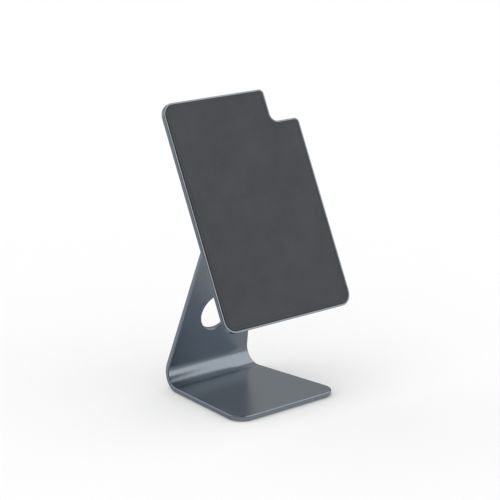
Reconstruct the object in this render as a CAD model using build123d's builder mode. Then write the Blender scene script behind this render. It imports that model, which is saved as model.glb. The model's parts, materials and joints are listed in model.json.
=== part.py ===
from build123d import *
from math import cos, hypot, pi, radians, sin
import os

# Tablet stand: a bent plate that carries a friction hinge, and a magnetic plate that swivels on it.
# Millimetres. X is to the right, +Y to the back and +Z up. The origin is the middle of the base's underside.

# ---- Driving dimensions -------------------------------------------------------------------------

# Bent plate
PLATE_T = 5.0
BASE_FRONT_W = 130.5
BASE_REAR_W = 111.0
BASE_FLAT_LENGTH = 112.5
BASE_CORNER_R = 16.5
BEND_OUTER_R = 20.0
BEND_SECTIONS = 8
RISER_LEAN = 17.0  # degrees forward from vertical
RISER_LENGTH = 177.0
RISER_TAPER = 0.14  # narrowing of each side per unit of length
RISER_CORNER_R = 9.0
PLATE_EDGE = 0.6  # chamfer round the plate's edges
CABLE_HOLE_R = 20.0
CABLE_HOLE_UP = 52.0

# Pad under the base
PAD_T = 1.2
PAD_PROUD = 0.5
PAD_MARGIN = 5.0
PAD_GAP = 0.15
PAD_REAR_CORNER_R = 5.0

# Tilt hinge
HINGE_UP = 175.0  # along the riser, from the end of the bend to the axis
HINGE_STANDOFF = 13.5  # from the riser's front face to the axis
KNUCKLE_R = 9.5
EAR_W = 11.0
CENTRE_KNUCKLE_W = 22.0
BLOCK_T = 4.0
BLOCK_DROP = 26.0
BLOCK_EDGE = 0.8
KNUCKLE_RELIEF = 0.7
SHAFT_R = 4.0
SHAFT_HEAD_R = 6.1
SHAFT_HEAD_T = 3.2
NUT_T = 2.8
EAR_POCKET_R = 6.5
EAR_POCKET_DEPTH = 5.0
CAP_T = 1.2
CAP_DOME = 0.4
BUSH_WALL = 1.5
RUNNING_GAP = 0.05
FIT_GAP = 0.02
TILT_WASHER_R = 9.0
TILT_WASHER_T = 1.0
SPRING_WASHER_T = 0.4
SPRING_WASHER_RISE = 0.1

# Screws
RISER_SCREW_X = 17.5
RISER_SCREW_ROWS = (-9.0, -19.5)  # along the riser, from the hinge axis
RISER_SCREW = dict(shank_r=2.0, head_r=3.8, head_h=2.2, length=11.0, socket_w=2.5, socket_depth=1.6)
HUB_SCREW = dict(shank_r=1.25, head_r=2.1, head_h=0.8, length=3.2, socket_w=1.4, socket_depth=0.6)
PANEL_SCREW = dict(shank_r=0.9, head_r=1.6, head_h=0.7, length=2.6, socket_w=1.0, socket_depth=0.5)
HUB_SCREW_CIRCLE_R = 18.5
HUB_SCREWS = 6

# Tilt arm and swivel
NECK_H = 15.0
NECK_EDGE_R = 2.5
FLANGE_FROM = 10.5  # distances named FROM run from the tilt axis towards the tablet
FLANGE_T = 3.0
FLANGE_R = 21.0
FLANGE_EDGE = 0.5
STUD_FROM = 6.3
STUD_EDGE = 0.3
SWIVEL_WASHER_R = 18.0
SWIVEL_WASHER_BORE_R = 7.0
HUB_FROM = 14.0
HUB_R = 27.0
HUB_FLANGE_T = 2.0
HUB_EDGE = 1.0
SPIGOT_R = 23.0
HUB_POCKET_R = 12.0
SWIVEL_BUSH_FLANGE_R = 9.0
SWIVEL_BUSH_FLANGE_T = 0.6
SWIVEL_SPRING_R = 8.0
SWIVEL_NUT_W = 13.0  # across flats
SWIVEL_NUT_T = 2.4

# Magnetic plate
HEAD_LEAN = 24.6  # degrees back from vertical
HEAD_W = 160.0
HEAD_H = 228.0
HEAD_CORNER_R = 13.0
SHELL_FROM = 16.0
SHELL_T = 1.4
SHELL_RIM_W = 1.6
SHELL_DEPTH = 5.4
SHELL_BACK_EDGE = 1.2
SHELL_FRONT_EDGE = 0.35
NOTCH = 34.0  # corner cut-out for the tablet's camera
NOTCH_INNER_R = 8.0
NOTCH_OUTER_R = 5.0
BACKING_T = 0.8
CARRIER_T = 2.4
PANEL_T = 0.8
PAD_FACE_T = 0.6
PAD_FACE_MARGIN = 2.4
PAD_FACE_EDGE = 0.2
MAGNET_W = 6.0
MAGNET_L = 18.0
MAGNET_T = 2.2
MAGNET_EDGE = 0.3
MAGNET_COLUMNS = (-66.0, -38.0, 38.0, 66.0)
MAGNET_PITCH = 24.0
MAGNETS_EACH_WAY = 4
PANEL_SCREW_X = 73.0
PANEL_SCREW_SIDE_Y = 84.5
PANEL_SCREW_END_Y = 106.0

# ---- Worked-out places --------------------------------------------------------------------------

lean = radians(RISER_LEAN)
bend_angle = pi / 2 + lean
base_taper = (BASE_FRONT_W - BASE_REAR_W) / 2 / BASE_FLAT_LENGTH
front_y = -(BASE_FLAT_LENGTH + BEND_OUTER_R) / 2
bend_y = front_y + BASE_FLAT_LENGTH
bend_inner_r = BEND_OUTER_R - PLATE_T

riser_up = Vector(0, -sin(lean), cos(lean))
riser_front = Vector(0, -cos(lean), -sin(lean))
riser_start = Vector(
    0,
    bend_y + bend_inner_r * cos(lean),
    PAD_PROUD + BEND_OUTER_R + bend_inner_r * sin(lean),
)
riser_face = Plane(origin=riser_start, x_dir=(1, 0, 0), z_dir=riser_front)
riser_back = Plane(origin=riser_start - riser_front * PLATE_T, x_dir=(-1, 0, 0), z_dir=-riser_front)

hinge_foot = riser_start + riser_up * HINGE_UP
hinge_axis = hinge_foot + riser_front * HINGE_STANDOFF
hinge_side = Plane(origin=hinge_foot, x_dir=riser_front, z_dir=(-1, 0, 0))
washer_x = CENTRE_KNUCKLE_W / 2 + RUNNING_GAP
ear_x = washer_x + TILT_WASHER_T
block_x = ear_x + EAR_W
pocket_x = block_x - EAR_POCKET_DEPTH
bush_r = SHAFT_R + BUSH_WALL

head_lean = radians(HEAD_LEAN)
head = Plane(origin=hinge_axis, x_dir=(1, 0, 0), z_dir=(0, -cos(head_lean), sin(head_lean)))
swivel_axis = Axis(hinge_axis, head.z_dir)
flange_face = FLANGE_FROM + FLANGE_T
backing_from = SHELL_FROM + SHELL_T
carrier_from = backing_from + BACKING_T
panel_from = SHELL_FROM + SHELL_DEPTH - PANEL_T
pad_face_from = SHELL_FROM + SHELL_DEPTH
spring_from = SHELL_FROM + SWIVEL_BUSH_FLANGE_T + RUNNING_GAP
spring_stack = 2 * (SPRING_WASHER_T + SPRING_WASHER_RISE)
nut_from = spring_from + spring_stack


# ---- Shapes used more than once -----------------------------------------------------------------


def base_outline(plane, margin, front_r, rear_r):
    """Top view of the base, drawn in by a margin, with its corner radii."""
    front = front_y + margin
    rear = bend_y - margin
    side = BASE_FRONT_W / 2 - margin * hypot(1, base_taper)
    front_x = side - base_taper * (front - front_y)
    rear_x = side - base_taper * (rear - front_y)
    corners = [(-front_x, front), (front_x, front), (rear_x, rear), (-rear_x, rear)]
    with BuildSketch(plane) as outline:
        with BuildLine():
            FilletPolyline(*corners, radius=[front_r, front_r, rear_r, rear_r], close=True)
        make_face()
    return outline.sketch


def bend_section(angle):
    """Section of the bent plate at an angle round the bend, with its edges chamfered."""
    share = angle / bend_angle
    slope = base_taper + (RISER_TAPER - base_taper) * share
    narrowing = BEND_OUTER_R * angle * (base_taper + slope) / 2
    half_w = BASE_REAR_W / 2 - narrowing
    edge_x = half_w - PLATE_EDGE * hypot(1, slope)
    outer = Vector(0, bend_y + BEND_OUTER_R * sin(angle), PAD_PROUD + BEND_OUTER_R * (1 - cos(angle)))
    right = [
        (edge_x, -PLATE_T),
        (half_w, PLATE_EDGE - PLATE_T),
        (half_w, -PLATE_EDGE),
        (edge_x, 0),
    ]
    left = [(-x, y) for x, y in reversed(right)]
    with BuildSketch(Plane(origin=outer, x_dir=(1, 0, 0), z_dir=(0, cos(angle), sin(angle)))) as section:
        with BuildLine():
            Polyline(*right, *left, close=True)
        make_face()
    return section.sketch


def riser_half_w(up):
    """Half the riser's width at a distance up from the end of the bend."""
    at_bend = BASE_REAR_W / 2 - BEND_OUTER_R * bend_angle * (base_taper + RISER_TAPER) / 2
    return at_bend - RISER_TAPER * up


def head_outline(offset, margin):
    """Front view of the magnetic plate, drawn in by a margin, with the camera notch at one corner."""
    x = HEAD_W / 2 - margin
    y = HEAD_H / 2 - margin
    notch_x = HEAD_W / 2 - NOTCH - margin
    notch_y = HEAD_H / 2 - NOTCH - margin
    corners = [(-x, -y), (x, -y), (x, notch_y), (notch_x, notch_y), (notch_x, y), (-x, y)]
    corner_r = HEAD_CORNER_R - margin
    notch_r = NOTCH_OUTER_R - margin
    radii = [corner_r, corner_r, notch_r, NOTCH_INNER_R + margin, notch_r, corner_r]
    with BuildSketch(head.offset(offset)) as outline:
        with BuildLine():
            FilletPolyline(*corners, radius=radii, close=True)
        make_face()
    return outline.sketch


def ring(plane, outer_r, inner_r=0):
    """A round face, with a round hole in it if a bore is given."""
    with BuildSketch(plane) as face:
        Circle(outer_r)
        if inner_r:
            Circle(inner_r, mode=Mode.SUBTRACT)
    return face.sketch


def across(x):
    """Plane square to the tilt axis at a distance along it, facing +X."""
    return Plane(origin=hinge_axis + Vector(x, 0, 0), x_dir=(0, 1, 0), z_dir=(1, 0, 0))


def cone_washer_pair(plane, inner_r, outer_r):
    """Two conical spring washers, rim to rim, standing on a plane."""
    top = SPRING_WASHER_T + SPRING_WASHER_RISE
    profile = [
        (inner_r, 0),
        (outer_r, SPRING_WASHER_RISE),
        (outer_r, top),
        (inner_r, SPRING_WASHER_T),
    ]
    with BuildPart() as pair:
        with BuildSketch(Plane.XZ):
            with BuildLine():
                Polyline(*profile, close=True)
            make_face()
        revolve(axis=Axis.Z)
        mirror(about=Plane.XY.offset(top))
    return plane.location * pair.part


def countersunk_screw(shank_r, head_r, head_h, length, socket_w, socket_depth):
    """A countersunk screw with a hexagon socket, its head's top at the origin and its shank down -Z."""
    with BuildPart() as screw:
        with BuildSketch(Plane.XZ):
            with BuildLine():
                Polyline(
                    (0, 0),
                    (head_r, 0),
                    (shank_r, -head_h),
                    (shank_r, -length),
                    (0, -length),
                    close=True,
                )
            make_face()
        revolve(axis=Axis.Z)
        with BuildSketch():
            RegularPolygon(socket_w / 2, 6, major_radius=False)
        extrude(amount=-socket_depth, mode=Mode.SUBTRACT)
    return screw.part


def screw_hole(shank_r, head_r, head_h, length, **socket):
    """The space that a countersunk screw fills, with a little room round it."""
    with BuildPart() as hole:
        with BuildSketch(Plane.XZ):
            with BuildLine():
                Polyline(
                    (0, FIT_GAP),
                    (head_r + FIT_GAP, FIT_GAP),
                    (head_r + FIT_GAP, 0),
                    (shank_r + FIT_GAP, -head_h),
                    (shank_r + FIT_GAP, -length - FIT_GAP),
                    (0, -length - FIT_GAP),
                    close=True,
                )
            make_face()
        revolve(axis=Axis.Z)
    return hole.part


riser_screw_places = [
    riser_back.location * Location((x, HINGE_UP + row, 0))
    for x in (-RISER_SCREW_X, RISER_SCREW_X)
    for row in RISER_SCREW_ROWS
]
hub_screw_places = [
    head.offset(carrier_from).location * place
    for place in PolarLocations(HUB_SCREW_CIRCLE_R, HUB_SCREWS, start_angle=30).local_locations
]
panel_screw_places = [
    head.offset(pad_face_from).location * Location((x, y, 0))
    for x, y in (
        (-PANEL_SCREW_X, -PANEL_SCREW_SIDE_Y),
        (PANEL_SCREW_X, -PANEL_SCREW_SIDE_Y),
        (-PANEL_SCREW_X, 0),
        (PANEL_SCREW_X, 0),
        (-PANEL_SCREW_X, PANEL_SCREW_SIDE_Y),
        (0, -PANEL_SCREW_END_Y),
        (0, PANEL_SCREW_END_Y),
    )
]

# ---- The stand: bent plate and pad --------------------------------------------------------------

with BuildPart() as base:
    extrude(base_outline(Plane.XY.offset(PAD_PROUD), 0, BASE_CORNER_R, 0), amount=PLATE_T)
    level_edges = base.edges().filter_by(Plane.XY)
    chamfer(level_edges.sort_by(Axis.Y)[:-2], PLATE_EDGE)

with BuildPart() as riser:
    with BuildSketch(riser_face):
        with BuildLine():
            FilletPolyline(
                (-riser_half_w(0), 0),
                (riser_half_w(0), 0),
                (riser_half_w(RISER_LENGTH), RISER_LENGTH),
                (-riser_half_w(RISER_LENGTH), RISER_LENGTH),
                radius=[0, 0, RISER_CORNER_R, RISER_CORNER_R],
                close=True,
            )
        make_face()
        with Locations((0, CABLE_HOLE_UP)):
            Circle(CABLE_HOLE_R, mode=Mode.SUBTRACT)
    extrude(amount=-PLATE_T)
    face_edges = riser.edges().filter_by(riser_face)
    chamfer(face_edges.sort_by(Axis(riser_start, riser_up))[2:], PLATE_EDGE)
    with Locations(*riser_screw_places):
        add(screw_hole(**RISER_SCREW), mode=Mode.SUBTRACT)

with BuildPart() as stand_plate:
    loft([bend_section(bend_angle * step / BEND_SECTIONS) for step in range(BEND_SECTIONS + 1)])
    add(base.part)
    add(riser.part)
    recess = base_outline(
        Plane.XY.offset(PAD_PROUD),
        PAD_MARGIN - PAD_GAP,
        BASE_CORNER_R - PAD_MARGIN + PAD_GAP,
        PAD_REAR_CORNER_R + PAD_GAP,
    )
    extrude(recess, amount=PAD_T - PAD_PROUD, mode=Mode.SUBTRACT)

with BuildPart() as base_pad:
    extrude(
        base_outline(Plane.XY, PAD_MARGIN, BASE_CORNER_R - PAD_MARGIN, PAD_REAR_CORNER_R),
        amount=PAD_T,
    )

# ---- The tilt hinge's fixed half ----------------------------------------------------------------

with BuildPart() as hinge_block:
    with BuildSketch(hinge_side):
        with Locations((BLOCK_T / 2, (RISER_LENGTH - HINGE_UP - BLOCK_DROP) / 2)):
            Rectangle(BLOCK_T, RISER_LENGTH - HINGE_UP + BLOCK_DROP)
        with Locations((HINGE_STANDOFF, 0)):
            Circle(KNUCKLE_R)
        make_hull()
    extrude(amount=block_x, both=True)
    for end in (0, -1):
        rim = hinge_block.faces().sort_by(Axis.X)[end].edges()
        chamfer(rim.sort_by(Axis(hinge_foot, riser_front))[1:], BLOCK_EDGE)
    with BuildSketch(hinge_side):
        with Locations((HINGE_STANDOFF, 0)):
            Circle(KNUCKLE_R + KNUCKLE_RELIEF)
        with Locations((BLOCK_T + HINGE_STANDOFF, 0)):
            Rectangle(2 * HINGE_STANDOFF, 3 * BLOCK_DROP)
    extrude(amount=ear_x, both=True, mode=Mode.SUBTRACT)
    extrude(ring(across(0), SHAFT_R + RUNNING_GAP), amount=block_x, both=True, mode=Mode.SUBTRACT)
    extrude(ring(across(pocket_x), EAR_POCKET_R), amount=EAR_POCKET_DEPTH, mode=Mode.SUBTRACT)
    extrude(ring(across(-pocket_x), EAR_POCKET_R), amount=-EAR_POCKET_DEPTH, mode=Mode.SUBTRACT)
    with Locations(*riser_screw_places):
        add(screw_hole(**RISER_SCREW), mode=Mode.SUBTRACT)

with BuildPart() as hinge_screws:
    with Locations(*riser_screw_places):
        add(countersunk_screw(**RISER_SCREW))

nut_x = pocket_x + 2 * (SPRING_WASHER_T + SPRING_WASHER_RISE)
with BuildPart() as tilt_shaft:
    extrude(ring(across(-pocket_x), SHAFT_HEAD_R), amount=-SHAFT_HEAD_T)
    chamfer(tilt_shaft.edges().sort_by(Axis.X)[0], BLOCK_EDGE)
    extrude(ring(across(-pocket_x), SHAFT_R), amount=pocket_x + nut_x + NUT_T)

with BuildPart() as tilt_spring_washers:
    add(cone_washer_pair(across(pocket_x), SHAFT_R + RUNNING_GAP, SHAFT_HEAD_R))

with BuildPart() as tilt_nut:
    extrude(ring(across(nut_x), SHAFT_HEAD_R, SHAFT_R + FIT_GAP), amount=NUT_T)
    with Locations(across(nut_x + NUT_T)):
        with PolarLocations((SHAFT_HEAD_R + SHAFT_R) / 2, 2):
            Hole(BUSH_WALL / 2, depth=NUT_T / 2)

with BuildPart() as tilt_friction_washers:
    for side in (-1, 1):
        washer = ring(across(side * washer_x), TILT_WASHER_R, SHAFT_R + RUNNING_GAP)
        extrude(washer, amount=side * TILT_WASHER_T)

with BuildPart() as hinge_cap_right:
    extrude(ring(across(block_x + CAP_DOME - CAP_T), EAR_POCKET_R - RUNNING_GAP), amount=CAP_T)
    fillet(hinge_cap_right.edges().sort_by(Axis.X)[-1], CAP_DOME)

with BuildPart() as hinge_cap_left:
    add(hinge_cap_right.part)
    mirror(about=Plane.YZ)
    split(bisect_by=Plane.YZ, keep=Keep.BOTTOM)

# ---- The tilt arm -------------------------------------------------------------------------------

with BuildPart() as arm_flange:
    extrude(ring(head.offset(FLANGE_FROM), FLANGE_R), amount=FLANGE_T)
    chamfer(arm_flange.edges().filter_by(GeomType.CIRCLE), FLANGE_EDGE)

with BuildPart() as tilt_arm:
    with BuildSketch(head):
        Rectangle(CENTRE_KNUCKLE_W, NECK_H)
    extrude(amount=FLANGE_FROM)
    fillet(tilt_arm.edges().filter_by(swivel_axis), NECK_EDGE_R)
    extrude(ring(across(0), KNUCKLE_R), amount=CENTRE_KNUCKLE_W / 2, both=True)
    add(arm_flange.part)
    bush_bore = ring(across(0), bush_r + FIT_GAP)
    extrude(bush_bore, amount=CENTRE_KNUCKLE_W / 2, both=True, mode=Mode.SUBTRACT)
    stud_bore = ring(head.offset(STUD_FROM), SHAFT_R + FIT_GAP)
    extrude(stud_bore, amount=flange_face - STUD_FROM, mode=Mode.SUBTRACT)

with BuildPart() as tilt_bush:
    extrude(ring(across(0), bush_r, SHAFT_R + RUNNING_GAP), amount=CENTRE_KNUCKLE_W / 2, both=True)

with BuildPart() as swivel_stud:
    extrude(ring(head.offset(STUD_FROM), SHAFT_R), amount=nut_from + SWIVEL_NUT_T - STUD_FROM)
    chamfer(swivel_stud.edges().filter_by(GeomType.CIRCLE).sort_by(swivel_axis)[-1], STUD_EDGE)

with BuildPart() as swivel_friction_washer:
    extrude(
        ring(head.offset(flange_face), SWIVEL_WASHER_R, SWIVEL_WASHER_BORE_R),
        amount=HUB_FROM - flange_face - RUNNING_GAP,
    )

with BuildPart() as swivel_spring_washers:
    add(cone_washer_pair(head.offset(spring_from), SHAFT_R + RUNNING_GAP, SWIVEL_SPRING_R))

with BuildPart() as swivel_nut:
    with BuildSketch(head.offset(nut_from)):
        RegularPolygon(SWIVEL_NUT_W / 2, 6, major_radius=False)
        Circle(SHAFT_R + FIT_GAP, mode=Mode.SUBTRACT)
    extrude(amount=SWIVEL_NUT_T)

# ---- The magnetic plate -------------------------------------------------------------------------

with BuildPart() as swivel_hub:
    extrude(ring(head.offset(HUB_FROM), HUB_R), amount=HUB_FLANGE_T)
    chamfer(swivel_hub.edges().filter_by(GeomType.CIRCLE).sort_by(swivel_axis)[0], HUB_EDGE)
    extrude(ring(head.offset(SHELL_FROM), SPIGOT_R), amount=SHELL_T)
    extrude(
        ring(head.offset(HUB_FROM), bush_r + FIT_GAP),
        amount=HUB_FLANGE_T,
        mode=Mode.SUBTRACT,
    )
    extrude(ring(head.offset(SHELL_FROM), HUB_POCKET_R), amount=SHELL_T, mode=Mode.SUBTRACT)
    with Locations(*hub_screw_places):
        add(screw_hole(**HUB_SCREW), mode=Mode.SUBTRACT)

with BuildPart() as swivel_bush:
    extrude(ring(head.offset(HUB_FROM), bush_r, SHAFT_R + RUNNING_GAP), amount=HUB_FLANGE_T)
    extrude(
        ring(head.offset(SHELL_FROM), SWIVEL_BUSH_FLANGE_R, SHAFT_R + RUNNING_GAP),
        amount=SWIVEL_BUSH_FLANGE_T,
    )

with BuildPart() as rear_shell:
    extrude(head_outline(SHELL_FROM, 0), amount=SHELL_DEPTH)
    shell_faces = rear_shell.faces().sort_by(swivel_axis)
    chamfer(shell_faces[0].edges(), SHELL_BACK_EDGE)
    chamfer(shell_faces[-1].edges(), SHELL_FRONT_EDGE)
    extrude(
        head_outline(backing_from, SHELL_RIM_W),
        amount=SHELL_DEPTH,
        mode=Mode.SUBTRACT,
    )
    extrude(ring(head.offset(SHELL_FROM), SPIGOT_R + FIT_GAP), amount=SHELL_T, mode=Mode.SUBTRACT)

with BuildPart() as hub_screws:
    with Locations(*hub_screw_places):
        add(countersunk_screw(**HUB_SCREW))

with BuildPart() as steel_backing:
    extrude(head_outline(backing_from, SHELL_RIM_W + PAD_GAP), amount=BACKING_T)
    extrude(ring(head.offset(backing_from), HUB_POCKET_R), amount=BACKING_T, mode=Mode.SUBTRACT)
    with Locations(*hub_screw_places):
        add(screw_hole(**HUB_SCREW), mode=Mode.SUBTRACT)

magnet_rows = [row * MAGNET_PITCH for row in range(-MAGNETS_EACH_WAY, MAGNETS_EACH_WAY + 1)]
notch_left = HEAD_W / 2 - NOTCH - NOTCH_OUTER_R
notch_low = HEAD_H / 2 - NOTCH - NOTCH_OUTER_R
magnet_places = [
    (x, y)
    for x in MAGNET_COLUMNS
    for y in magnet_rows
    if x + MAGNET_W / 2 < notch_left or y + MAGNET_L / 2 < notch_low
]

with BuildPart() as magnets:
    with BuildSketch(head.offset(carrier_from)):
        with Locations(*magnet_places):
            Rectangle(MAGNET_W, MAGNET_L)
    extrude(amount=MAGNET_T)
    chamfer(magnets.edges().filter_by(head).filter_by(Axis.X, reverse=True), MAGNET_EDGE)

with BuildPart() as magnet_carrier:
    extrude(head_outline(carrier_from, SHELL_RIM_W + PAD_GAP), amount=CARRIER_T)
    extrude(ring(head.offset(carrier_from), HUB_POCKET_R), amount=CARRIER_T, mode=Mode.SUBTRACT)
    with BuildSketch(head.offset(carrier_from)):
        with Locations(*magnet_places):
            Rectangle(MAGNET_W + PAD_GAP, MAGNET_L + PAD_GAP)
    extrude(amount=CARRIER_T, mode=Mode.SUBTRACT)
    with Locations(*panel_screw_places):
        add(screw_hole(**PANEL_SCREW), mode=Mode.SUBTRACT)

with BuildPart() as front_panel:
    extrude(head_outline(panel_from, SHELL_RIM_W + PAD_GAP), amount=PANEL_T)
    with Locations(*panel_screw_places):
        add(screw_hole(**PANEL_SCREW), mode=Mode.SUBTRACT)

with BuildPart() as panel_screws:
    with Locations(*panel_screw_places):
        add(countersunk_screw(**PANEL_SCREW))

with BuildPart() as front_pad:
    extrude(head_outline(pad_face_from, PAD_FACE_MARGIN), amount=PAD_FACE_T)
    chamfer(front_pad.faces().sort_by(swivel_axis)[-1].edges(), PAD_FACE_EDGE)

# ---- Files --------------------------------------------------------------------------------------

pieces = {
    "stand_plate": stand_plate,
    "base_pad": base_pad,
    "hinge_block": hinge_block,
    "hinge_screws": hinge_screws,
    "tilt_shaft": tilt_shaft,
    "tilt_spring_washers": tilt_spring_washers,
    "tilt_nut": tilt_nut,
    "tilt_friction_washers": tilt_friction_washers,
    "hinge_cap_left": hinge_cap_left,
    "hinge_cap_right": hinge_cap_right,
    "tilt_arm": tilt_arm,
    "tilt_bush": tilt_bush,
    "swivel_stud": swivel_stud,
    "swivel_friction_washer": swivel_friction_washer,
    "swivel_spring_washers": swivel_spring_washers,
    "swivel_nut": swivel_nut,
    "swivel_hub": swivel_hub,
    "swivel_bush": swivel_bush,
    "hub_screws": hub_screws,
    "rear_shell": rear_shell,
    "steel_backing": steel_backing,
    "magnet_carrier": magnet_carrier,
    "magnets": magnets,
    "front_panel": front_panel,
    "panel_screws": panel_screws,
    "front_pad": front_pad,
}

os.makedirs("parts", exist_ok=True)
for name, piece in pieces.items():
    piece.part.label = name
    export_step(piece.part, f"parts/{name}.step")
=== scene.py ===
"""Tablet stand: looks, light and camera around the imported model. Metres, in the CAD frame."""
import json
import math

import bmesh
import bpy
from mathutils import Matrix, Vector


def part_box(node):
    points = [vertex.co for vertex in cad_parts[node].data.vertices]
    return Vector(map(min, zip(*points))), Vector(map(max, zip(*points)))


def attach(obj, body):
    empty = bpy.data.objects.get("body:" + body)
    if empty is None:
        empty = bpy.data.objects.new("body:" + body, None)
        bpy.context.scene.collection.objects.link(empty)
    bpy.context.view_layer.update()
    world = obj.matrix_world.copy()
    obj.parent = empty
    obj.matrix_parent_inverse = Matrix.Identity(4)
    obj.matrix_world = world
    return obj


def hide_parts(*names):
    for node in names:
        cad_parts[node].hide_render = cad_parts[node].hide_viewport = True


MM = 0.001

# ---- Camera ---------------------------------------------------------------------------------------
CAMERA_PLACE = (-1.0798, -1.3235, 0.6027)
CAMERA_AZIMUTH = math.radians(-39.386)
CAMERA_ELEVATION = math.radians(14.892)
CAMERA_ROLL = math.radians(-0.834)
LENS_MM = 128.93
SENSOR_MM = 36.0

# ---- The soft face of the magnetic plate, millimetres -------------------------------------------------
HEAD_W = 160.0
HEAD_H = 228.0
HEAD_CORNER_R = 13.0
NOTCH = 34.0
NOTCH_INNER_R = 8.0
NOTCH_OUTER_R = 5.0
FACE_MARGIN = 2.4
FACE_BACK = 21.4  # from the swivel's origin, along its axis
FACE_FRONT = 22.0
RIM_EASE = 0.10
RIM_MIDDLE = 0.08
RIM_R = 0.28
GROOVE_IN = 2.6
GROOVE_DEPTH = 0.22
GROOVE_HALF_W = 0.45
GROOVE_SHOULDER = 0.05  # above the groove's floor, halfway up its sides
GROOVE_LAND = 0.4

# ---- The foot under the base, millimetres -------------------------------------------------------------
BASE_FRONT_W = 130.5
BASE_REAR_W = 111.0
BASE_FLAT_LENGTH = 112.5
BASE_CORNER_R = 16.5
FOOT_MARGIN = 5.0
FOOT_REAR_R = 5.0
FOOT_TOP = 1.2
FOOT_EDGE_R = 0.3
FOOT_EDGE_MIDDLE = 0.1
FOOT_FIELD = 0.55  # height of the sunk field between the ribs
RIB_PITCH = 4.0
RIB_W = 1.6
RIB_SLOPE = 0.3
RIBS = 5

# ---- Outlines and eased edges, millimetres ------------------------------------------------------------
SMALLEST_ARC_R = 1.8
ARC_STEPS = 10
WELD_REACH = 0.001
FLAT_ANGLE = math.radians(0.4)
EDGE_ANGLE = math.radians(28)
EDGE_SEGMENTS = 2
EASED_EDGES = {
    "stand_plate": 0.22,
    "rear_shell": 0.12,
    "hinge_block": 0.22,
    "tilt_arm": 0.15,
    "swivel_hub": 0.2,
}

# ---- Colours, linear, and heights of surface grain ----------------------------------------------------
SLATE_LIGHT = (0.231, 0.262, 0.295, 1.0)
SLATE_DARK = (0.211, 0.241, 0.274, 1.0)
BLASTED_ROUGHNESS = 0.235
TURNED_ROUGHNESS = 0.24
TOOL_MARK_PITCH = 0.35 * MM
TOOL_MARK_GRAIN = 0.02 * MM
FINE_GRAIN = 0.03 * MM
MOULD_GRAIN = 0.04 * MM
PEBBLE_GRAIN = 0.12 * MM

# ---- Studio -------------------------------------------------------------------------------------------
FLOOR_R = 9.0
FLOOR_SIDES = 96
FLOOR_DROP = 0.2 * MM
FLOOR_GLOW = 0.04
FILL = 0.98
AMBIENT = 0.14
# What the metal mirrors: the direction of each panel, the angle out to which it is full and the angle
# where it ends, both in degrees, and its strength. A negative strength darkens.
PANELS = [
    ((0.63, -0.52, 0.57), 38, 46, 1.40),  # key, on the viewer's right
    ((0.605, 0.752, 0.261), 14, 46, 0.17),  # behind, mirrored in the top of the base
    ((-0.05, 0.62, 0.78), 22, 60, 0.50),  # high at the back
    ((-0.60, 0.75, 0.30), 14, 38, 0.85),  # back left, for the edges on the left
    ((-0.60, 0.75, -0.50), 8, 36, -0.24),  # dark below it, for the wall under those edges
    ((0.0, 0.0, -1.0), 70, 95, 0.56),  # the ground
    ((0.0, 0.0, -1.0), 42, 64, -0.14),  # the ground straight below, a little darker
]

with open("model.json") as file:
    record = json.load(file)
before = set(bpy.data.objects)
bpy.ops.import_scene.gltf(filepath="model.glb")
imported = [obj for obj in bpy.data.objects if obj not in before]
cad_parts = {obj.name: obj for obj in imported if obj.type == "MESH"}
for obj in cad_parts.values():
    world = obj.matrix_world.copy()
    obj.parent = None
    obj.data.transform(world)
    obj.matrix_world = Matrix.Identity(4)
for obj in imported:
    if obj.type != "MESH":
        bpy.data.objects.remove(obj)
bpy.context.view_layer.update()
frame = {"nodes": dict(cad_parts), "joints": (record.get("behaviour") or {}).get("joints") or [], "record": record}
joints = {joint["name"]: joint for joint in frame["joints"]}
tilt_place = Vector(joints["tilt"]["pos_m"])
tilt_axis = Vector(joints["tilt"]["axis"]).normalized()
swivel_place = Vector(joints["swivel"]["pos_m"])
swivel_axis = Vector(joints["swivel"]["axis"]).normalized()


# ---- Node helpers -------------------------------------------------------------------------------------


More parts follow.
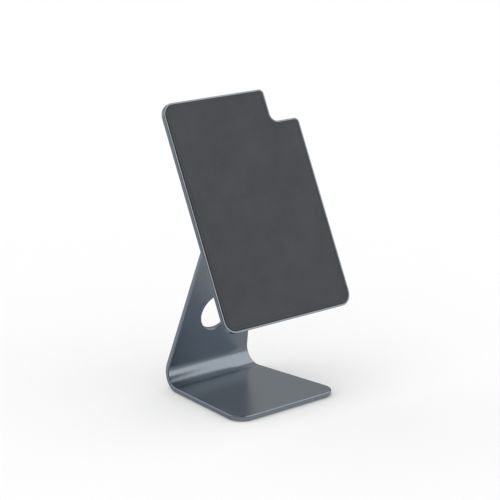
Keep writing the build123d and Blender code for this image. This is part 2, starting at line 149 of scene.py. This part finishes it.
class Shader:
    """A new material with short ways to add the nodes that this script uses."""

    def __init__(self, name, **inputs):
        self.material = bpy.data.materials.new(name)
        self.material.use_nodes = True
        self.tree = self.material.node_tree
        self.bsdf = self.tree.nodes["Principled BSDF"]
        for label, value in inputs.items():
            self.bsdf.inputs[label.replace("_", " ")].default_value = value
        self.place = self.tree.nodes.new("ShaderNodeTexCoord").outputs["Object"]

    def feed(self, socket, value):
        """Links a socket to another node's output, or sets it to a plain value."""
        if isinstance(value, bpy.types.NodeSocket):
            self.tree.links.new(value, socket)
        else:
            socket.default_value = value

    def node(self, kind, inputs, **settings):
        made = self.tree.nodes.new(kind)
        for key, value in settings.items():
            setattr(made, key, value)
        for key, value in inputs.items():
            self.feed(made.inputs[key], value)
        return made

    def noise(self, scale, detail=2.0, vector=None):
        inputs = {"Vector": vector or self.place, "Scale": scale, "Detail": detail}
        return self.node("ShaderNodeTexNoise", inputs).outputs["Fac"]

    def pebbles(self, scale):
        """Rounded cells: the smoothed distance from the nearest cell's middle."""
        inputs = {"Vector": self.place, "Scale": scale}
        return self.node("ShaderNodeTexVoronoi", inputs, feature="SMOOTH_F1").outputs["Distance"]

    def spread(self, value, low, high, start=0.3, end=0.7):
        """Maps start to end, by default the middle of a noise's range, onto low to high."""
        inputs = {"Value": value, "From Min": start, "From Max": end, "To Min": low, "To Max": high}
        return self.node("ShaderNodeMapRange", inputs).outputs["Result"]

    def mix(self, factor, first, second):
        made = self.node("ShaderNodeMix", {"Factor": factor}, data_type="RGBA")
        colours = [socket for socket in made.inputs if socket.type == "RGBA"]
        for socket, value in zip(colours, (first, second)):
            self.feed(socket, value)
        return made.outputs[2]

    def bump(self, height, strength, distance, under=None):
        inputs = {"Height": height, "Strength": strength, "Distance": distance}
        if under:
            inputs["Normal"] = under
        return self.node("ShaderNodeBump", inputs).outputs["Normal"]

    def stretched(self, scale):
        inputs = {"Vector": self.place, "Scale": scale}
        return self.node("ShaderNodeMapping", inputs).outputs["Vector"]

    def rings(self, centre, axis, pitch):
        """Turned tool marks: a value that changes only with the distance from an axis."""
        arm = self.node("ShaderNodeVectorMath", {0: self.place, 1: centre}, operation="SUBTRACT")
        across = self.node("ShaderNodeVectorMath", {0: arm.outputs[0], 1: axis}, operation="CROSS_PRODUCT")
        radius = self.node("ShaderNodeVectorMath", {0: across.outputs[0]}, operation="LENGTH")
        inputs = {"W": radius.outputs["Value"], "Scale": 1 / pitch, "Detail": 2.0}
        return self.node("ShaderNodeTexNoise", inputs, noise_dimensions="1D").outputs["Fac"]

    def set(self, label, value):
        self.tree.links.new(value, self.bsdf.inputs[label])


# ---- Finishes -----------------------------------------------------------------------------------------


def anodised(name, roughness=BLASTED_ROUGHNESS, turned_about=None):
    """Bead-blasted, anodised aluminium: a fine pebbled surface with a faint cloudy tone."""
    s = Shader(name, Metallic=0.95)
    clouds = s.noise(9.0, 3.0)
    tone = s.spread(s.noise(420.0, 3.0), 0.0, 1.0)
    s.set("Base Color", s.mix(tone, SLATE_LIGHT, SLATE_DARK))
    s.set("Roughness", s.spread(clouds, roughness - 0.02, roughness + 0.03))
    blasted = s.bump(s.noise(2600.0), 0.4, FINE_GRAIN)
    if turned_about:
        centre, axis = turned_about
        blasted = s.bump(s.rings(centre, axis, TOOL_MARK_PITCH), 0.25, FINE_GRAIN, blasted)
    s.set("Normal", blasted)
    return s.material


def polymer(name, light, dark, roughness):
    """Moulded plastic or silicone with a fine spark-eroded grain."""
    s = Shader(name)
    s.set("Base Color", s.mix(s.spread(s.noise(60.0, 3.0), 0.0, 1.0), light, dark))
    s.set("Roughness", s.spread(s.noise(300.0), roughness - 0.04, roughness + 0.04))
    s.set("Normal", s.bump(s.noise(1500.0, 3.0), 0.3, MOULD_GRAIN))
    return s.material


def steel(name, light, dark, roughness, mark_scale):
    """Machined steel with tool marks, which are finest along the axis with the largest scale."""
    s = Shader(name, Metallic=1.0)
    marks = s.noise(1.0, 3.0, s.stretched(mark_scale))
    s.set("Base Color", s.mix(s.spread(marks, 0.0, 1.0), light, dark))
    s.set("Roughness", s.spread(marks, roughness - 0.05, roughness + 0.08))
    s.set("Normal", s.bump(marks, 0.2, TOOL_MARK_GRAIN))
    return s.material


def soft_skin(name, light, dark):
    """Soft-touch skin: dark grey with a fine leather-like grain, slightly shinier in its hollows."""
    s = Shader(name)
    pebbles = s.pebbles(1100.0)
    tone = s.spread(s.noise(35.0, 4.0), 0.0, 1.0)
    s.set("Base Color", s.mix(tone, light, dark))
    s.set("Roughness", s.spread(pebbles, 0.52, 0.66, 0.0, 0.7))
    fine = s.bump(s.noise(3200.0), 0.2, FINE_GRAIN)
    s.set("Normal", s.bump(pebbles, 0.55, PEBBLE_GRAIN, fine))
    return s.material


finishes = {
    "anodised_grey": anodised("anodised_grey"),
    "pad_rubber": polymer("pad_rubber", (0.020, 0.021, 0.022, 1), (0.028, 0.029, 0.031, 1), 0.7),
    "black_polymer": polymer("black_polymer", (0.022, 0.022, 0.023, 1), (0.030, 0.030, 0.031, 1), 0.5),
    "white_polymer": polymer("white_polymer", (0.66, 0.65, 0.60, 1), (0.58, 0.57, 0.52, 1), 0.42),
    "bright_steel": steel(
        "bright_steel", (0.60, 0.59, 0.57, 1), (0.50, 0.49, 0.48, 1), 0.28, (4000, 300, 300)
    ),
    "dark_steel": steel(
        "dark_steel", (0.045, 0.045, 0.05, 1), (0.030, 0.030, 0.033, 1), 0.36, (900, 900, 900)
    ),
    "nickel": steel("nickel", (0.66, 0.63, 0.58, 1), (0.56, 0.54, 0.50, 1), 0.2, (700, 2500, 700)),
    "soft_face": soft_skin("soft_face", (0.026, 0.029, 0.034, 1), (0.036, 0.039, 0.045, 1)),
}
turned_on_swivel = anodised("anodised_turned_hub", TURNED_ROUGHNESS, (swivel_place, swivel_axis))
turned_on_tilt = anodised("anodised_turned_cap", TURNED_ROUGHNESS, (tilt_place, tilt_axis))
own_finishes = {
    "swivel_hub": turned_on_swivel,
    "hinge_cap_left": turned_on_tilt,
    "hinge_cap_right": turned_on_tilt,
}

for entry in frame["record"]["subparts"]:
    node = frame["nodes"][entry["node"]]
    node.data.materials.clear()
    node.data.materials.append(own_finishes.get(entry["node"], finishes[entry["material_slot"]]))


# ---- Eased edges on the machined parts ----------------------------------------------------------------


def ease_edges(name, width):
    """Gives a machined part small rounded edges, as modifiers on its node."""
    node = frame["nodes"][name]
    weld = node.modifiers.new("weld", "WELD")
    weld.merge_threshold = WELD_REACH * MM
    flat = node.modifiers.new("flat", "DECIMATE")
    flat.decimate_type = "DISSOLVE"
    flat.angle_limit = FLAT_ANGLE
    ease = node.modifiers.new("ease", "BEVEL")
    ease.width = width * MM
    ease.segments = EDGE_SEGMENTS
    ease.limit_method = "ANGLE"
    ease.angle_limit = EDGE_ANGLE
    ease.miter_outer = "MITER_ARC"
    node.modifiers.new("shading", "WEIGHTED_NORMAL").keep_sharp = False


for name, width in EASED_EDGES.items():
    ease_edges(name, width)


# ---- Moulded pieces -----------------------------------------------------------------------------------


def left_of(direction):
    return Vector((-direction.y, direction.x))


def sides_at(corners):
    """For each corner of a polygon, the corner and the directions into it and out of it."""
    for at, corner in enumerate(corners):
        into = (corner - corners[at - 1]).normalized()
        out = (corners[(at + 1) % len(corners)] - corner).normalized()
        yield corner, into, out


def outline(corners, radii, margin):
    """A polygon with arcs at its corners, its inside on the left, drawn in by a margin."""
    points = []
    for (corner, into, out), radius in zip(sides_at(corners), radii):
        inward = left_of(into) + left_of(out)
        moved = corner + inward * margin / (1 + left_of(into).dot(left_of(out)))
        side = 1 if into.cross(out) > 0 else -1
        arc_r = max(radius - side * margin, SMALLEST_ARC_R)
        turn = math.acos(into.dot(out))
        start = moved - into * arc_r * math.tan(turn / 2)
        centre = start + left_of(into) * side * arc_r
        for step in range(ARC_STEPS + 1):
            spin = Matrix.Rotation(side * turn * step / ARC_STEPS, 2)
            points.append(centre + spin @ (start - centre))
    return points


def moulded(name, corners, radii, profile, plane):
    """A closed form with a ring for each (margin, height) of the profile, and both ends filled."""
    corners = [Vector(corner) for corner in corners]
    mesh = bpy.data.meshes.new(name)
    form = bmesh.new()
    rings = []
    for margin, height in profile:
        points = outline(corners, radii, margin)
        rings.append([form.verts.new(plane @ (Vector((*p, height)) * MM)) for p in points])
    for low, high in zip(rings, rings[1:]):
        for at in range(len(low)):
            form.faces.new((low[at - 1], low[at], high[at], high[at - 1]))
    form.faces.new(reversed(rings[0]))
    form.faces.new(rings[-1])
    bmesh.ops.recalc_face_normals(form, faces=form.faces)
    for face in form.faces:
        face.smooth = True
    form.to_mesh(mesh)
    form.free()
    piece = bpy.data.objects.new(name, mesh)
    bpy.context.scene.collection.objects.link(piece)
    piece.modifiers.new("shading", "WEIGHTED_NORMAL").keep_sharp = False
    return piece


def soft_face():
    """The skin that the tablet rests on, with a rounded rim and a pressed line along its edge."""
    x = HEAD_W / 2
    y = HEAD_H / 2
    corners = [(-x, -y), (x, -y), (x, y - NOTCH), (x - NOTCH, y - NOTCH), (x - NOTCH, y), (-x, y)]
    radii = [HEAD_CORNER_R, HEAD_CORNER_R, NOTCH_OUTER_R, NOTCH_INNER_R, NOTCH_OUTER_R, HEAD_CORNER_R]
    groove = FACE_MARGIN + GROOVE_IN
    groove_floor = FACE_FRONT - GROOVE_DEPTH
    profile = [
        (FACE_MARGIN + RIM_EASE, FACE_BACK),
        (FACE_MARGIN, FACE_BACK + RIM_EASE),
        (FACE_MARGIN, FACE_FRONT - RIM_R),
        (FACE_MARGIN + RIM_MIDDLE, FACE_FRONT - RIM_EASE),
        (FACE_MARGIN + RIM_R, FACE_FRONT),
        (groove - GROOVE_HALF_W, FACE_FRONT),
        (groove - GROOVE_HALF_W / 2, groove_floor + GROOVE_SHOULDER),
        (groove, groove_floor),
        (groove + GROOVE_HALF_W / 2, groove_floor + GROOVE_SHOULDER),
        (groove + GROOVE_HALF_W, FACE_FRONT),
        (groove + GROOVE_HALF_W + GROOVE_LAND, FACE_FRONT),
    ]
    across = Vector((1, 0, 0))
    upward = swivel_axis.cross(across)
    turned = Matrix((across, upward, swivel_axis)).transposed().to_4x4()
    piece = moulded("soft_face", corners, radii, profile, Matrix.Translation(swivel_place) @ turned)
    piece.data.materials.append(finishes["soft_face"])
    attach(piece, "magnet_head")
    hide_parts("front_pad")


def base_foot():
    """The pad under the base: a rounded lip, and ribs that run round a sunk field."""
    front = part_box("stand_plate")[0].y / MM
    rear = front + BASE_FLAT_LENGTH
    corners = [
        (-BASE_FRONT_W / 2, front),
        (BASE_FRONT_W / 2, front),
        (BASE_REAR_W / 2, rear),
        (-BASE_REAR_W / 2, rear),
    ]
    rear_r = FOOT_MARGIN + FOOT_REAR_R
    radii = [BASE_CORNER_R, BASE_CORNER_R, rear_r, rear_r]
    profile = [
        (FOOT_MARGIN, FOOT_TOP),
        (FOOT_MARGIN, FOOT_EDGE_R),
        (FOOT_MARGIN + FOOT_EDGE_MIDDLE, FOOT_EDGE_MIDDLE),
        (FOOT_MARGIN + FOOT_EDGE_R, 0.0),
    ]
    for number in range(1, RIBS + 1):
        gap = FOOT_MARGIN + number * RIB_PITCH
        gap_end = gap + RIB_PITCH - RIB_W
        profile += [(gap - RIB_SLOPE, 0.0), (gap, FOOT_FIELD)]
        profile += [(gap_end, FOOT_FIELD), (gap_end + RIB_SLOPE, 0.0)]
    field = FOOT_MARGIN + (RIBS + 1) * RIB_PITCH
    profile += [(field - RIB_SLOPE, 0.0), (field, FOOT_FIELD), (field + RIB_W, FOOT_FIELD)]
    piece = moulded("base_foot", corners, radii, profile, Matrix())
    piece.data.materials.append(finishes["pad_rubber"])
    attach(piece, "stand")
    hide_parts("base_pad")


soft_face()
base_foot()


# ---- Floor, light and camera --------------------------------------------------------------------------


def floor():
    """A wide pale floor just under the foot, which glows a little and does not show in the metal."""
    mesh = bpy.data.meshes.new("floor")
    piece = bpy.data.objects.new("floor", mesh)
    bpy.context.scene.collection.objects.link(piece)
    form = bmesh.new()
    bmesh.ops.create_circle(form, cap_ends=True, radius=FLOOR_R, segments=FLOOR_SIDES)
    form.to_mesh(mesh)
    form.free()
    s = Shader(
        "floor",
        Roughness=0.9,
        Specular_IOR_Level=0.0,
        Emission_Color=(1, 1, 1, 1),
        Emission_Strength=FLOOR_GLOW,
    )
    s.set("Base Color", s.mix(s.noise(3.0), (0.80, 0.80, 0.80, 1), (0.81, 0.81, 0.81, 1)))
    mesh.materials.append(s.material)
    piece.location.z = -FLOOR_DROP
    piece.visible_glossy = False


def sun(name, energy, azimuth, elevation, spread):
    """A very soft distant light that lights matt things only. Its angles are in degrees."""
    data = bpy.data.lights.new(name, "SUN")
    data.energy = energy
    data.angle = math.radians(spread)
    lamp = bpy.data.objects.new(name, data)
    lamp.rotation_euler = (math.radians(90 - elevation), 0, math.radians(azimuth))
    lamp.visible_glossy = False
    bpy.context.scene.collection.objects.link(lamp)


def surroundings():
    """Light by direction: matt surfaces get an even fill, metal mirrors the panels, the rest is white."""
    world = bpy.data.worlds.new("studio")
    bpy.context.scene.world = world
    world.use_nodes = True
    tree = world.node_tree
    direction = tree.nodes.new("ShaderNodeTexCoord").outputs["Generated"]
    rays = tree.nodes.new("ShaderNodeLightPath").outputs
    total = tree.nodes.new("ShaderNodeValue").outputs["Value"]
    total.default_value = AMBIENT
    for towards, full, end, strength in PANELS:
        dot = tree.nodes.new("ShaderNodeVectorMath")
        dot.operation = "DOT_PRODUCT"
        dot.inputs[1].default_value = Vector(towards).normalized()
        tree.links.new(direction, dot.inputs[0])
        ramp = tree.nodes.new("ShaderNodeMapRange")
        ramp.interpolation_type = "SMOOTHSTEP"
        ramp.inputs["From Min"].default_value = math.cos(math.radians(end))
        ramp.inputs["From Max"].default_value = math.cos(math.radians(full))
        ramp.inputs["To Max"].default_value = strength
        tree.links.new(dot.outputs["Value"], ramp.inputs["Value"])
        add = tree.nodes.new("ShaderNodeMath")
        add.operation = "ADD"
        tree.links.new(ramp.outputs["Result"], add.inputs[0])
        tree.links.new(total, add.inputs[1])
        total = add.outputs["Value"]
    for kind, level in (("Is Diffuse Ray", FILL), ("Is Camera Ray", 1.0)):
        choice = tree.nodes.new("ShaderNodeMix")
        choice.inputs["B"].default_value = level
        tree.links.new(rays[kind], choice.inputs["Factor"])
        tree.links.new(total, choice.inputs["A"])
        total = choice.outputs["Result"]
    tree.links.new(total, tree.nodes["Background"].inputs["Color"])


floor()
sun("left_back", energy=0.80, azimuth=-115, elevation=50, spread=90)
surroundings()

camera_data = bpy.data.cameras.new("camera")
camera_data.lens = LENS_MM
camera_data.sensor_width = SENSOR_MM
camera = bpy.data.objects.new("camera", camera_data)
bpy.context.scene.collection.objects.link(camera)
aim = Matrix.Rotation(CAMERA_AZIMUTH, 4, "Z") @ Matrix.Rotation(math.pi / 2 - CAMERA_ELEVATION, 4, "X")
camera.matrix_world = Matrix.Translation(CAMERA_PLACE) @ aim @ Matrix.Rotation(CAMERA_ROLL, 4, "Z")
bpy.context.scene.camera = camera
bpy.context.scene.view_settings.view_transform = "Standard"
